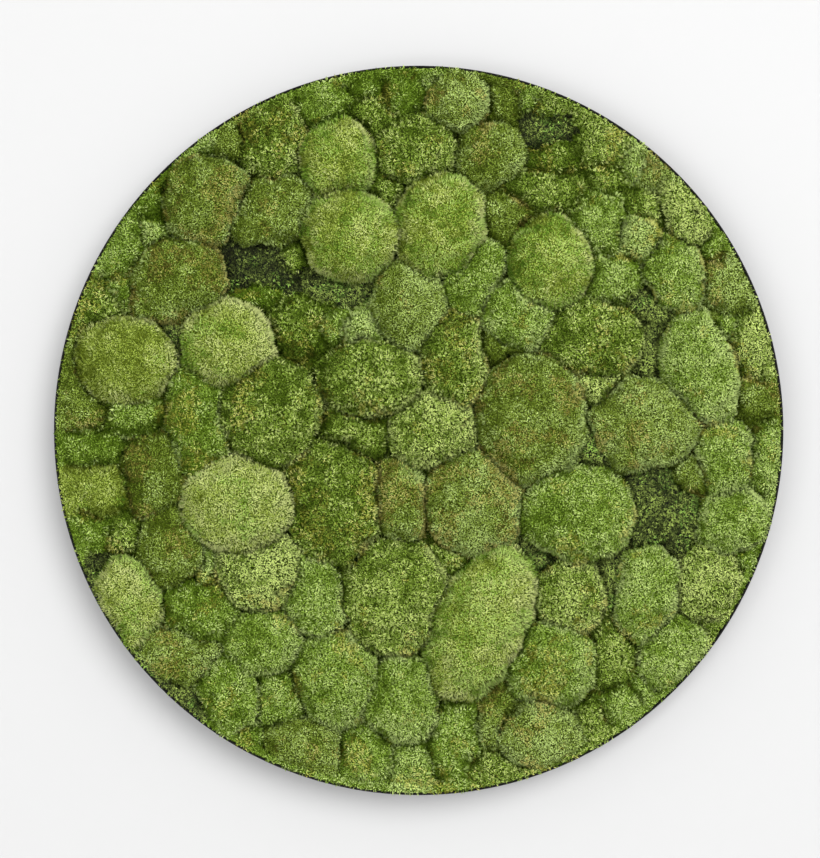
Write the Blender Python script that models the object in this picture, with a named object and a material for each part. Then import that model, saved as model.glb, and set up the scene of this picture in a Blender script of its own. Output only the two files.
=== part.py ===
"""Round moss wall picture: moss cushions packed side by side in a thin round frame.

Metres, +Z up. The picture hangs on a wall: the wall is the plane Y = 0, the moss faces -Y,
and the origin is the centre of the back.
"""
import math
from collections import namedtuple

import bmesh
import bpy
from mathutils import Matrix, Vector, noise

MM = 0.001
MERGE_DISTANCE = 0.01 * MM
SHARP_ANGLE = math.radians(40)

# Picture and frame
PICTURE_RADIUS = 400 * MM
RIM_THICKNESS = 2 * MM
RIM_DEPTH = 46 * MM
BOARD_THICKNESS = 12 * MM
MOSS_BED_FRONT = 27 * MM
FIT_GAP = 0.3 * MM
ROUND_STEPS = 64
INSIDE_RADIUS = PICTURE_RADIUS - RIM_THICKNESS - FIT_GAP
MOSS_RADIUS = INSIDE_RADIUS * math.cos(math.pi / ROUND_STEPS)

# Hanging plate, let into the back of the board
HANGER_HEIGHT = 300 * MM
PLATE_WIDTH = 18 * MM
PLATE_LENGTH = 46 * MM
PLATE_THICKNESS = 1.5 * MM
PLATE_INSET = 0.8 * MM
KEYHOLE_ENTRY_RADIUS = 5 * MM
KEYHOLE_SLOT_WIDTH = 5 * MM
KEYHOLE_SLOT_LENGTH = 12 * MM
KEYHOLE_ENTRY_DROP = 6 * MM
POCKET_WIDTH = 13 * MM
POCKET_LENGTH = 28 * MM
POCKET_DEPTH = 9 * MM
SCREW_SPACING = 37 * MM
SCREW_HEAD_RADIUS = 3 * MM
SCREW_HEAD_HEIGHT = 0.5 * MM
HOLE_SIDES = 20
SCREW_HEAD_SIDES = 12
CUT_PAST = 1 * MM

# How the moss cushions meet: a crease parts them, one that is taller by STANDS_IN_FRONT keeps its
# whole oval, and each spreads past its oval to fill the room between the others: a tall one up to
# TALL_SPREAD and the rest up to LOW_SPREAD
CREASE = 0.8 * MM
STANDS_IN_FRONT = 4 * MM
TALL_CROWN = 40 * MM
TALL_SPREAD = 4 * MM
LOW_SPREAD = 14 * MM
SMALLEST_REACH = 2 * MM
REACH_STEP = 0.5 * MM
REACH_SHRINK = 0.985
SIDE_CHECKS = (0.25, 0.5, 0.75)

# A cushion's outline is traced in TRACED_DIRECTIONS and then thinned to a point about every SEGMENT; taking a
# point out of a hollow counts HOLLOW_COST times as much, because the side would then cross a neighbour
TRACED_DIRECTIONS = 60
SEGMENT = 22 * MM
FEWEST_SEGMENTS = 6
MOST_SEGMENTS = 16
HOLLOW_COST = 4

# A cushion's dome follows a profile: (share of the crown height, share of the outline's radius)
DOME_PROFILE = ((0.0, 0.93), (0.32, 1.0), (0.7, 0.86), (0.93, 0.5))
LUMP_PROFILE = ((0.0, 0.95), (0.35, 1.0), (0.82, 0.7))
WIDEST_RING = 1
LUMP_ROOT = 4 * MM
UNEVENNESS = 0.10
UNEVENNESS_SIZE = 38 * MM

# Every moss cushion as it shows from the front, in millimetres: how far its centre is right of and above the
# middle of the picture, half its width, half its height, its turn in degrees (anticlockwise) and the height
# of its crown over the moss bed.
CUSHIONS = {
    "pale": (
        (-74, 213, 53, 51, 0, 50),
        (23, 224, 49, 58, -8, 45),
        (-210, 96, 51, 46, 0, 44),
        (-199, -85, 60, 50, 0, 46),
        (69, -213, 50, 90, -26, 48),
        (-320, -187, 34, 48, 22, 37),
        (-322, 76, 55, 47, 0, 40),
        (-89, 297, 42, 46, 0, 41),
        (144, 184, 45, 52, 14, 42),
    ),
    "green": (
        (175, -90, 64, 54, -8, 42),
        (250, -176, 31, 51, -15, 38),
        (306, 68, 40, 60, 12, 38),
        (-19, -299, 37, 47, 10, 36),
        (-170, -233, 36, 33, 0, 34),
        (-246, -200, 39, 31, -10, 29),
        (-112, -185, 28, 43, 12, 31),
        (-208, -292, 30, 40, 15, 30),
        (68, 168, 36, 38, 0, 31),
        (109, 130, 34, 38, 0, 36),
        (-246, 11, 30, 51, 5, 33),
        (283, -248, 35, 42, -25, 33),
        (350, -101, 40, 32, 8, 36),
        (-91, -272, 44, 47, 8, 38),
        (150, -255, 42, 45, 0, 38),
        (282, 168, 30, 37, 20, 31),
        (333, -30, 36, 35, 0, 31),
    ),
    "olive": (
        (124, 13, 59, 71, 8, 46),
        (56, -80, 50, 56, 10, 38),
        (252, 7, 60, 48, 0, 38),
        (-237, 257, 43, 48, -20, 38),
        (-168, 239, 46, 34, 0, 33),
        (-265, 161, 48, 46, 0, 36),
        (-12, 140, 36, 41, 0, 38),
        (-18, -77, 26, 44, 0, 32),
        (-274, -130, 33, 40, 0, 31),
        (-294, -44, 29, 44, 0, 29),
        (-263, -251, 40, 29, -20, 29),
        (-131, -349, 41, 30, -12, 28),
        (133, -336, 46, 34, 10, 33),
        (45, 362, 34, 32, 0, 34),
        (78, 308, 34, 32, 0, 30),
    ),
    "tufted": (
        (-53, 57, 56, 43, 0, 42),
        (12, -2, 46, 39, 0, 38),
        (-164, 20, 55, 60, 0, 42),
        (-92, -77, 46, 64, 0, 36),
        (-25, -185, 59, 66, 0, 40),
        (40, 75, 30, 46, 0, 36),
        (196, 101, 53, 38, 0, 36),
        (-1, 310, 42, 34, 0, 32),
        (-162, 328, 32, 46, 0, 31),
        (-177, -154, 48, 45, 0, 40),
        (166, -183, 40, 38, 0, 34),
        (321, -171, 37, 38, 0, 33),
        (298, 245, 28, 41, 38, 29),
    ),
    "dark": (
        (267, -88, 37, 55, 0, 24),
    ),
}

# The small lumps of the moss bed itself, between the cushions, written the same way
BED_LUMPS = (
    (-58, 380, 18, 17, 0, 21),
    (-50, 348, 26, 20, 0, 18),
    (-17, 370, 21, 28, 0, 22),
    (14, 378, 12, 18, 0, 17),
    (92, 360, 19, 31, -14, 22),
    (121, 366, 12, 13, 0, 19),
    (150, 358, 22, 16, -22, 18),
    (140, 331, 30, 18, 0, 14),
    (201, 321, 31, 30, 0, 26),
    (237, 300, 13, 22, 25, 22),
    (261, 282, 19, 22, 35, 20),
    (155, 298, 26, 18, 0, 18),
    (-107, 362, 31, 22, 16, 26),
    (-210, 321, 17, 22, 0, 24),
    (-237, 314, 12, 13, 0, 19),
    (-296, 254, 19, 25, -45, 20),
    (-173, 180, 35, 24, 0, 13),
    (-139, 189, 14, 14, 0, 18),
    (-181, 146, 24, 12, 0, 17),
    (-330, 198, 22, 35, -28, 28),
    (-295, 219, 13, 13, 0, 24),
    (-331, 154, 13, 15, 0, 17),
    (-356, 140, 22, 22, 0, 22),
    (-312, 22, 34, 31, 0, 32),
    (-274, 104, 10, 20, 0, 16),
    (-371, 28, 26, 40, 0, 26),
    (-362, -22, 33, 22, 0, 23),
    (-356, -66, 37, 27, 0, 30),
    (-131, 118, 32, 29, 0, 23),
    (-63, 108, 22, 18, 0, 30),
    (-92, 115, 15, 15, 0, 24),
    (-92, 156, 38, 15, 0, 14),
    (199, 227, 24, 33, 0, 29),
    (244, 212, 21, 24, 0, 29),
    (217, 165, 27, 26, 0, 29),
    (254, 134, 24, 20, 0, 17),
    (199, 48, 22, 19, 0, 24),
    (144, 266, 40, 19, 0, 24),
    (97, 233, 22, 26, 0, 24),
    (254, 250, 24, 22, 0, 16),
    (208, 273, 18, 15, 0, 18),
    (341, 158, 24, 31, 25, 26),
    (326, 203, 13, 14, 0, 20),
    (338, 117, 12, 20, 25, 20),
    (368, 94, 22, 37, 12, 28),
    (256, 86, 11, 36, 0, 15),
    (373, 35, 20, 24, 0, 25),
    (382, -36, 14, 34, -5, 28),
    (300, -46, 21, 23, 0, 29),
    (-325, -118, 19, 20, 0, 22),
    (-362, -116, 18, 26, 15, 20),
    (-357, -150, 11, 20, 22, 16),
    (-235, -160, 10, 17, 0, 22),
    (-154, -297, 24, 31, 0, 28),
    (-186, -341, 18, 14, -25, 20),
    (-259, -291, 22, 9, -42, 16),
    (-56, -361, 31, 31, 0, 29),
    (-12, -368, 23, 25, 0, 26),
    (40, -339, 25, 42, 0, 30),
    (89, -372, 33, 17, 13, 20),
    (85, -328, 21, 29, 0, 24),
    (362, -135, 12, 22, -20, 22),
    (320, -217, 14, 18, -35, 20),
    (215, -250, 21, 35, 0, 24),
    (211, -170, 12, 24, 0, 16),
    (254, -288, 17, 17, 0, 20),
    (224, -304, 21, 20, 0, 28),
    (194, -323, 20, 24, 0, 22),
    (129, -144, 16, 12, 0, 14),
    (31, -139, 22, 14, 0, 16),
    (192, -22, 14, 26, 0, 18),
    (-38, 264, 16, 13, 0, 20),
    (-66, -2, 36, 29, 0, 31),
    (92, 95, 22, 15, 0, 24),
)

# Colour, roughness and metallic value of each material
FINISHES = {
    "pale": ("#9DB25C", 0.95, 0.0),
    "green": ("#6F9038", 0.95, 0.0),
    "olive": ("#7D8440", 0.95, 0.0),
    "tufted": ("#7A9240", 0.95, 0.0),
    "dark": ("#3B4A26", 0.95, 0.0),
    "moss_bed": ("#44562A", 1.0, 0.0),
    "rim": ("#1C1B19", 0.45, 0.0),
    "board": ("#B39568", 0.85, 0.0),
    "hanger_plate": ("#A9ABAD", 0.35, 1.0),
}

Cushion = namedtuple("Cushion", "x z half_width half_height turn crown")


def clear_scene():
    for item in list(bpy.data.objects):
        bpy.data.objects.remove(item)


def linear(channel):
    """One sRGB channel, 0 to 1, as linear light."""
    if channel <= 0.04045:
        return channel / 12.92
    return ((channel + 0.055) / 1.055) ** 2.4


def make_material(name):
    colour, roughness, metallic = FINISHES[name]
    material = bpy.data.materials.new(name)
    material.use_nodes = True
    shader = material.node_tree.nodes["Principled BSDF"]
    channels = [linear(int(colour[i:i + 2], 16) / 255) for i in (1, 3, 5)]
    shader.inputs["Base Color"].default_value = (*channels, 1.0)
    shader.inputs["Roughness"].default_value = roughness
    shader.inputs["Metallic"].default_value = metallic
    return material


def add_object(name, shape, material, smooth=True):
    """Turn a bmesh into an object with its faces pointing out."""
    bmesh.ops.recalc_face_normals(shape, faces=shape.faces)
    mesh = bpy.data.meshes.new(name)
    shape.to_mesh(mesh)
    shape.free()
    mesh.materials.append(material)
    if smooth:
        mesh.shade_smooth()
        mesh.set_sharp_from_angle(angle=SHARP_ANGLE)
    item = bpy.data.objects.new(name, mesh)
    bpy.context.collection.objects.link(item)
    return item


def combine(item, cutter, operation):
    """Apply one exact Boolean of cutter on item, then remove the cutter."""
    modifier = item.modifiers.new("combine", "BOOLEAN")
    modifier.operation = operation
    modifier.solver = "EXACT"
    modifier.object = cutter
    bpy.context.view_layer.update()
    depsgraph = bpy.context.evaluated_depsgraph_get()
    result = bpy.data.meshes.new_from_object(item.evaluated_get(depsgraph))
    item.modifiers.clear()
    item.data = result
    bpy.data.objects.remove(cutter)


# ---- The outline of each cushion ----

def to_cushion(row):
    """A row of the tables in metres."""
    x, z, half_width, half_height, turn, crown = row
    return Cushion(
        x * MM,
        z * MM,
        half_width * MM,
        half_height * MM,
        math.radians(turn),
        crown * MM,
    )


def share_of_oval(cushion, x, z):
    """How far a point is from the cushion's centre: 1 on the cushion's own oval."""
    right = x - cushion.x
    up = z - cushion.z
    along = right * math.cos(cushion.turn) + up * math.sin(cushion.turn)
    across = up * math.cos(cushion.turn) - right * math.sin(cushion.turn)
    return math.hypot(along / cushion.half_width, across / cushion.half_height)


def smaller_half(cushion):
    return min(cushion.half_width, cushion.half_height)


def most_spread(cushion):
    return TALL_SPREAD if cushion.crown >= TALL_CROWN else LOW_SPREAD


def share_of_spread(cushion, share):
    """How far past its oval a cushion is drawn out to a point: 0 on the oval and 1 at its farthest."""
    return (share - 1) * smaller_half(cushion) / most_spread(cushion)


def owns(cushion, neighbours, x, z):
    """Whether a point belongs to the cushion.

    Where ovals overlap, a taller neighbour keeps its whole oval and equals share it. The room between
    ovals goes to the one that is drawn out the least.
    """
    if math.hypot(x, z) > MOSS_RADIUS:
        return False
    own = share_of_oval(cushion, x, z)
    past = share_of_spread(cushion, own)
    if past > 1:
        return False
    for other in neighbours:
        theirs = share_of_oval(other, x, z)
        crease = CREASE / smaller_half(other)
        taller_by = other.crown - cushion.crown
        if past > 0:
            if share_of_spread(other, theirs) < past + CREASE / most_spread(cushion):
                return False
        elif taller_by > STANDS_IN_FRONT:
            if theirs < 1 + crease:
                return False
        elif taller_by >= -STANDS_IN_FRONT:
            if own > theirs - crease:
                return False
    return True


def nearby(cushion, everyone):
    """The cushions close enough to touch this one."""
    reach = max(cushion.half_width, cushion.half_height)
    found = []
    for other in everyone:
        gap = math.hypot(other.x - cushion.x, other.z - cushion.z)
        touching = reach + max(other.half_width, other.half_height) + 2 * (LOW_SPREAD + CREASE)
        if other is not cushion and gap < touching:
            found.append(other)
    return found


def oval_direction(cushion, angle):
    """Directions that come out evenly spaced along the oval, however long and thin it is."""
    along = cushion.half_width * math.cos(angle)
    across = cushion.half_height * math.sin(angle)
    return cushion.turn + math.atan2(across, along)


def outline(cushion, everyone):
    """The cushion's reach in directions all round it, cut back by its neighbours and by the rim."""
    neighbours = nearby(cushion, everyone)
    turns = [2 * math.pi * step / TRACED_DIRECTIONS for step in range(TRACED_DIRECTIONS)]
    directions = [oval_direction(cushion, turn) for turn in turns]
    reaches = []
    for angle in directions:
        reach = SMALLEST_REACH
        right = math.cos(angle)
        up = math.sin(angle)
        while owns(cushion, neighbours, cushion.x + right * reach, cushion.z + up * reach):
            reach += REACH_STEP
        reaches.append(reach - REACH_STEP)
    around = math.pi * (cushion.half_width + cushion.half_height)
    count = min(max(round(around / SEGMENT), FEWEST_SEGMENTS), MOST_SEGMENTS)
    while len(directions) > count:
        plainest = plainest_point(directions, reaches)
        del directions[plainest], reaches[plainest]
    pull_in_sides(cushion, neighbours, directions, reaches)
    return directions, reaches


def plainest_point(directions, reaches):
    """The outline's point that changes its area the least when it is taken out."""
    points = [Vector((math.cos(angle), math.sin(angle))) * reach for angle, reach in zip(directions, reaches)]
    costs = []
    for index, point in enumerate(points):
        before = points[index - 1]
        after = points[(index + 1) % len(points)]
        turn = (point - before).cross(after - point)
        costs.append(turn if turn > 0 else -HOLLOW_COST * turn)
    return costs.index(min(costs))


def pull_in_sides(cushion, neighbours, directions, reaches):
    """Shorten the two ends of a straight side until the side crosses no neighbour."""
    count = len(directions)
    points = [Vector((math.cos(angle), math.sin(angle))) for angle in directions]
    centre = Vector((cushion.x, cushion.z))
    for step in range(count):
        after = (step + 1) % count
        crossing = True
        while crossing and reaches[step] > SMALLEST_REACH:
            start = centre + points[step] * reaches[step]
            end = centre + points[after] * reaches[after]
            checks = [start.lerp(end, share) for share in SIDE_CHECKS]
            crossing = not all(owns(cushion, neighbours, *point) for point in checks)
            if crossing:
                reaches[step] *= REACH_SHRINK
                reaches[after] *= REACH_SHRINK


# ---- Moss ----

def uneven(cushion, angle, radius):
    """A smooth rise and fall over the picture, so that no dome is a perfect one."""
    x = cushion.x + math.cos(angle) * radius
    z = cushion.z + math.sin(angle) * radius
    return noise.noise(Vector((x, cushion.crown, z)) / UNEVENNESS_SIZE)


def add_dome(shape, cushion, cell, profile, floor, foot=0.0):
    """Add one closed dome to a bmesh: rings of the profile, a crown point and a flat underside."""
    directions, reaches = cell
    rings = []
    for index, (height, width) in enumerate(profile):
        ring = []
        for angle, reach in zip(directions, reaches):
            radius = reach * width
            if index > WIDEST_RING:
                radius *= 1 + UNEVENNESS * uneven(cushion, angle, radius)
            x = cushion.x + math.cos(angle) * radius
            z = cushion.z + math.sin(angle) * radius
            sunk = foot if index == 0 else 0.0
            ring.append(shape.verts.new((x, -(floor - sunk + height * cushion.crown), z)))
        rings.append(ring)
    crown = shape.verts.new((cushion.x, -(floor + cushion.crown), cushion.z))
    count = len(directions)
    shape.faces.new(rings[0])
    for lower, upper in zip(rings, rings[1:]):
        for step in range(count):
            after = (step + 1) % count
            shape.faces.new((lower[step], lower[after], upper[after], upper[step]))
    for step in range(count):
        shape.faces.new((rings[-1][step], rings[-1][(step + 1) % count], crown))


def make_cushions(cushions, everyone, materials):
    """Every moss cushion, named after its kind of moss."""
    floor = MOSS_BED_FRONT + FIT_GAP
    for kind, members in cushions.items():
        for number, cushion in enumerate(members, start=1):
            shape = bmesh.new()
            add_dome(shape, cushion, outline(cushion, everyone), DOME_PROFILE, floor)
            add_object(f"{kind}_cushion_{number}", shape, materials[kind])


def add_disc(shape, radius, back, front):
    """Add a closed round slab between two distances from the wall."""
    flat = Matrix.Rotation(math.radians(90), 4, "X")
    made = bmesh.ops.create_circle(shape, cap_ends=True, radius=radius, segments=ROUND_STEPS, matrix=flat)
    bmesh.ops.translate(shape, verts=made["verts"], vec=(0, -back, 0))
    face = made["verts"][0].link_faces[0]
    pushed = bmesh.ops.extrude_face_region(shape, geom=[face], use_keep_orig=True)
    moved = [item for item in pushed["geom"] if isinstance(item, bmesh.types.BMVert)]
    bmesh.ops.translate(shape, verts=moved, vec=(0, back - front, 0))


def make_moss_bed(lumps, everyone, material):
    """The flat moss that covers the board, with the small lumps that rise from it between the cushions."""
    shape = bmesh.new()
    add_disc(shape, INSIDE_RADIUS, BOARD_THICKNESS + FIT_GAP, MOSS_BED_FRONT)
    bed = add_object("moss_bed", shape, material)
    shape = bmesh.new()
    for lump in lumps:
        add_dome(shape, lump, outline(lump, everyone), LUMP_PROFILE, MOSS_BED_FRONT, foot=LUMP_ROOT)
    combine(bed, add_object("lumps", shape, material), "UNION")
    return bed


# ---- Frame, board and hanging plate ----

def make_rim(material):
    """A thin strip bent round: its section is turned about the picture's axis."""
    shape = bmesh.new()
    outer = PICTURE_RADIUS
    inner = PICTURE_RADIUS - RIM_THICKNESS
    section = ((outer, 0), (outer, RIM_DEPTH), (inner, RIM_DEPTH), (inner, 0))
    points = [shape.verts.new((radius, -depth, 0)) for radius, depth in section]
    edges = [shape.edges.new((points[i - 1], points[i])) for i in range(len(points))]
    bmesh.ops.spin(
        shape,
        geom=points + edges,
        cent=(0, 0, 0),
        axis=(0, 1, 0),
        angle=2 * math.pi,
        steps=ROUND_STEPS,
        use_merge=True,
    )
    bmesh.ops.remove_doubles(shape, verts=shape.verts, dist=MERGE_DISTANCE)
    return add_object("rim", shape, material)


def box(name, width, length, back, front, height, material):
    """A block let into the back of the board, centred at one height."""
    shape = bmesh.new()
    size = Matrix.Diagonal((width, front - back, length, 1))
    place = Matrix.Translation((0, -(back + front) / 2, height))
    bmesh.ops.create_cube(shape, size=1, matrix=place @ size)
    return add_object(name, shape, material, smooth=False)


def rod(name, radius, back, front, height, material, sides):
    """A round plug through the back, its axis along Y."""
    shape = bmesh.new()
    turn = Matrix.Rotation(math.radians(90), 4, "X")
    place = Matrix.Translation((0, -(back + front) / 2, height))
    bmesh.ops.create_cone(
        shape,
        cap_ends=True,
        segments=sides,
        radius1=radius,
        radius2=radius,
        depth=front - back,
        matrix=place @ turn,
    )
    return add_object(name, shape, material)


def make_board(material):
    """The board behind the moss, with the recess for the hanging plate and the pocket for a screw's head."""
    shape = bmesh.new()
    add_disc(shape, INSIDE_RADIUS, 0, BOARD_THICKNESS)
    board = add_object("board", shape, material)
    recess_depth = PLATE_INSET + PLATE_THICKNESS + FIT_GAP
    recess = box(
        "recess",
        PLATE_WIDTH + 2 * FIT_GAP,
        PLATE_LENGTH + 2 * FIT_GAP,
        -CUT_PAST,
        recess_depth,
        HANGER_HEIGHT,
        material,
    )
    combine(board, recess, "DIFFERENCE")
    pocket = box("pocket", POCKET_WIDTH, POCKET_LENGTH, 0, POCKET_DEPTH, HANGER_HEIGHT, material)
    combine(board, pocket, "DIFFERENCE")
    return board


def make_hanger_plate(material):
    """A steel plate with a keyhole: a wall screw's head goes in below and slides up the slot."""
    back = PLATE_INSET
    front = PLATE_INSET + PLATE_THICKNESS
    plate = box("hanger_plate", PLATE_WIDTH, PLATE_LENGTH, back, front, HANGER_HEIGHT, material)
    cut_back = back - CUT_PAST
    cut_front = front + CUT_PAST
    entry_height = HANGER_HEIGHT - KEYHOLE_ENTRY_DROP
    entry = rod("entry", KEYHOLE_ENTRY_RADIUS, cut_back, cut_front, entry_height, material, HOLE_SIDES)
    combine(plate, entry, "DIFFERENCE")
    slot_height = entry_height + KEYHOLE_SLOT_LENGTH / 2
    slot = box("slot", KEYHOLE_SLOT_WIDTH, KEYHOLE_SLOT_LENGTH, cut_back, cut_front, slot_height, material)
    combine(plate, slot, "DIFFERENCE")
    head_back = back - SCREW_HEAD_HEIGHT
    head_front = back + PLATE_THICKNESS / 2
    for side in (-1, 1):
        height = HANGER_HEIGHT + side * SCREW_SPACING / 2
        head = rod("head", SCREW_HEAD_RADIUS, head_back, head_front, height, material, SCREW_HEAD_SIDES)
        combine(plate, head, "UNION")
    return plate


def main():
    clear_scene()
    materials = {name: make_material(name) for name in FINISHES}
    cushions = {kind: [to_cushion(row) for row in rows] for kind, rows in CUSHIONS.items()}
    lumps = [to_cushion(row) for row in BED_LUMPS]
    everyone = [cushion for members in cushions.values() for cushion in members] + lumps
    make_rim(materials["rim"])
    make_board(materials["board"])
    make_hanger_plate(materials["hanger_plate"])
    make_moss_bed(lumps, everyone, materials["moss_bed"])
    make_cushions(cushions, everyone, materials)


main()
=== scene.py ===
"""Round moss wall picture: moss on every cushion, a steel rim, a fibreboard back and a plain wall.

Laid out as an add-on and run as a script. In metres with +Z up. The wall is the plane Y = 0 and the moss
faces -Y.
"""
import math
from collections import namedtuple

import bmesh
import bpy
import numpy as np
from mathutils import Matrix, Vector, noise
from mathutils.bvhtree import BVHTree


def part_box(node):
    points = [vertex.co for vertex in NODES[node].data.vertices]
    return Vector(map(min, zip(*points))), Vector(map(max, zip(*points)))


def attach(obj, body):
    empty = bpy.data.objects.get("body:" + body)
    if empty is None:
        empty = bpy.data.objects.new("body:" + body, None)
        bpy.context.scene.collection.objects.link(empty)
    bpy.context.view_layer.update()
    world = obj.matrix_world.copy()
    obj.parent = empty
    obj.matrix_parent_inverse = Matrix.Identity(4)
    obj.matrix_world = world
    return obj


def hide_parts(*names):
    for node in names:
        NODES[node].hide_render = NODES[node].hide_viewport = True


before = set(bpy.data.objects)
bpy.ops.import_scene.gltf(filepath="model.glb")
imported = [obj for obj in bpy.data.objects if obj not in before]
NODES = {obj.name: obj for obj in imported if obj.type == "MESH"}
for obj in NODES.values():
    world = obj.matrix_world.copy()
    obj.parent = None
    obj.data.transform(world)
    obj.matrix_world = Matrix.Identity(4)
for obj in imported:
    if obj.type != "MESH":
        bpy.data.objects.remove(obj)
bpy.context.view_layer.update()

bl_info = {
    "name": "Round Moss Picture",
    "version": (1, 0, 0),
    "blender": (4, 5, 0),
    "location": "View3D > Sidebar > Moss Picture",
    "description": "Grows the moss of a round framed moss picture and finishes its frame",
    "category": "Object",
}

MM = 0.001

# The frame's own sizes
PICTURE_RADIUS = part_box("rim")[1].x
RIM_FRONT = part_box("rim")[0].y
INSIDE_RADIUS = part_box("board")[1].x

# What each kind of preserved moss looks like: deep between its shoots, a dark that is partly the stems'
# own colour and partly painted shade, then its dullest, usual and brightest shoots, then the same for the
# shoots that have turned greener, yellower or browner than the rest. The places are where these six tones
# stand across the moss's map.
MOSS_COLOURS = {
    "pale": ("#3A470D", "#556315", "#92A544", "#BEC87E", "#3D5A13", "#799A32", "#AAC168"),
    "green": ("#2A3905", "#465E0F", "#7E9A39", "#B1C575", "#525717", "#92983A", "#B9BF6A"),
    "olive": ("#283106", "#43540D", "#788D35", "#ADC272", "#474617", "#838136", "#AFAE62"),
    "tufted": ("#1E2902", "#3D520B", "#7A9336", "#BECF77", "#404810", "#8C9135", "#C4C670"),
    "dark": ("#0F120A", "#252818", "#505E2A", "#98AC54", "#232E0E", "#5B7932", "#9ABF58"),
}
COLOUR_PLACES = ("gap", "dull", "usual", "bright", "turned_dull", "turned_usual", "turned_bright")
TONE_PLACES = (0.01, 0.24, 0.48, 0.52, 0.76, 0.99)

# How each kind grows: its shoot, the room that each shoot takes, its length and its width in mm, how much
# it strays to one side, how much it is combed outward from the crown, how wide (mm) and how strong its
# tufts are, how tall and how wide (mm) the lumps of its cushions are, and what share of its shoots on the
# bed has turned colour
Growth = namedtuple(
    "Growth",
    "shoot spacing length width stray comb tuft tufts lump_height lump_width turned",
)
MOSS_GROWTH = {
    "pale": Growth("blade", 1.15, 6.0, 0.75, 0.8, 0.15, 12, 0.85, 2.2, 30, 0.25),
    "green": Growth("blade", 1.12, 5.0, 0.85, 0.9, 0.1, 10, 1.35, 3.0, 22, 0.2),
    "olive": Growth("blade", 1.15, 4.5, 0.8, 0.9, 0.1, 10, 1.15, 3.0, 22, 0.25),
    "tufted": Growth("rosette", 1.9, 5.0, 1.65, 0.7, 0.1, 11, 1.45, 4.5, 18, 0.25),
    "dark": Growth("rosette", 1.9, 5.0, 1.7, 0.8, 0.0, 10, 1.5, 5.0, 18, 0.3),
}

# How much of a body's sinking goes sideways, how far (mm) its edge wanders over what length (mm), and how
# much shorter the smaller waves of the edge and of its lumps are. The noise is seeded by the clock if it
# isn't told.
SIDEWAYS = 0.3
WANDER = 6.0
WANDER_LENGTH = 20.0
WANDER_SEED = 7
FINER_WANDER = 2.6
FINER_LUMPS = 2.3

# How much the tone differs between patches of what length (mm) and between neighbouring shoots, how much
# steeper than they grow the tufts take the light, how far a shoot's own lean turns it from the light, and
# how much painted light a cushion gets by the way it faces: paler on its right side, its flanks and its
# lower side
PATCHES = 0.7
PATCH_LENGTH = 38
OWN_TONE = 0.34
RELIEF = 7.0
FACING_STRAY = 0.45
PAINTED_LIGHT_BY_FACING = (0.18, 0.2, -0.08)

# How much painted shade darkens a hollow and how much paler the whole is, against the painted light and
# shade, on a cushion and on the bed, and how much painted shade darkens the bed between its lumps
PAINTED_SHADE_IN_HOLLOWS = 0.6
CUSHION_LIFT = 0.29
BED_PAINTED_SHADE_IN_HOLLOWS = 0.2
BED_LIFT = 0.03
PAINTED_SHADE_BETWEEN_LUMPS = 0.3

# The bed: how wide (mm) the cells of its grid are, how far (mm) from the rim it starts and stops rising to
# it, how far forward its edge stands there (in rim depths) and how much less on the right, and how near a
# lump's edge (in its half widths) the painted shade between the lumps starts and is full
BED_CELL = 3.5
RISE_START = 16
RISE_END = 6
BED_AT_RIM = 1.1
LESS_AT_RIGHT = 0.06
LUMP_EDGE = (0.6, 1.05)

# How far (mm) before the rim a shoot may hang over it, and how far (mm) past its outer side
BEFORE_RIM = 0.5
HANG_OVER = 1.5

# Where shoots have turned colour: how long (mm) the patches are, how sharp their edges are, how many more
# there are with the body's own share, and how far the noise has to rise for the first one
TURNED_LENGTH = 34
TURNED_SHARPNESS = 24.0
TURNED_BY_SHARE = 6.6
TURNED_FROM = 14.8

# The moss's map: how much of its width the unturned shoots have, where the turned ones start, how much of
# it a leaf is wide, and how high on it are the top of the body, the shoots' roots and their shoulders
HALF_MAP = 0.49
TURNED_START = 0.51
LEAF_ON_MAP = 0.006
BODY_TOP = 0.125
ROOT = 0.15
SHOULDER = 0.66

# The crowns of the lowest shoots: how wide (mm) they are, how far from their middles (in widths) they are
# fully bright and fully dark, and how much their tones differ
CROWN = 1.5
CROWN_TOP = 0.2
CROWN_EDGE = 0.62
CROWN_TONE = 0.1

# How far up a leaf its widest place is, how far out that is of its whole lean, and how much longer or
# shorter than the kind's own length a shoot is, at random and with its tuft
WIDEST = 0.6
WIDEST_OUT = 0.4
SHORTEST = 0.75
LONGEST = 1.1
TALLER_TUFTS = 0.45

# What is drawn at random for each shoot: its own tone, how it strays, its turn, its length and its lot
DRAWN = (
    ("own", "FLOAT", -OWN_TONE, OWN_TONE),
    ("astray", "FLOAT_VECTOR", (-1, -1, -1), (1, 1, 1)),
    ("spin", "FLOAT_VECTOR", (0, 0, 0), (0, 0, 2 * math.pi)),
    ("length", "FLOAT", SHORTEST, LONGEST),
    ("lot", "FLOAT", 0, 1),
)

# What the moss tree is given, and what a body and its shoots carry through it
MOSS_INPUTS = (
    ("Geometry", "Geometry"),
    ("Shoot", "Object"),
    ("Spacing", "Float"),
    ("Density", "Float"),
    ("Length", "Float"),
    ("Width", "Float"),
    ("Stray", "Float"),
    ("Tuft Scale", "Float"),
    ("Tufts", "Float"),
    ("Seed", "Int"),
    ("Material", "Material"),
)
CARRIED = {
    "cover": "FLOAT",
    "shade": "FLOAT",
    "turned": "FLOAT",
    "grow": "FLOAT_VECTOR",
    "facing": "FLOAT_VECTOR",
    "tone": "FLOAT",
    "height": "FLOAT",
    "side": "FLOAT",
}

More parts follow.
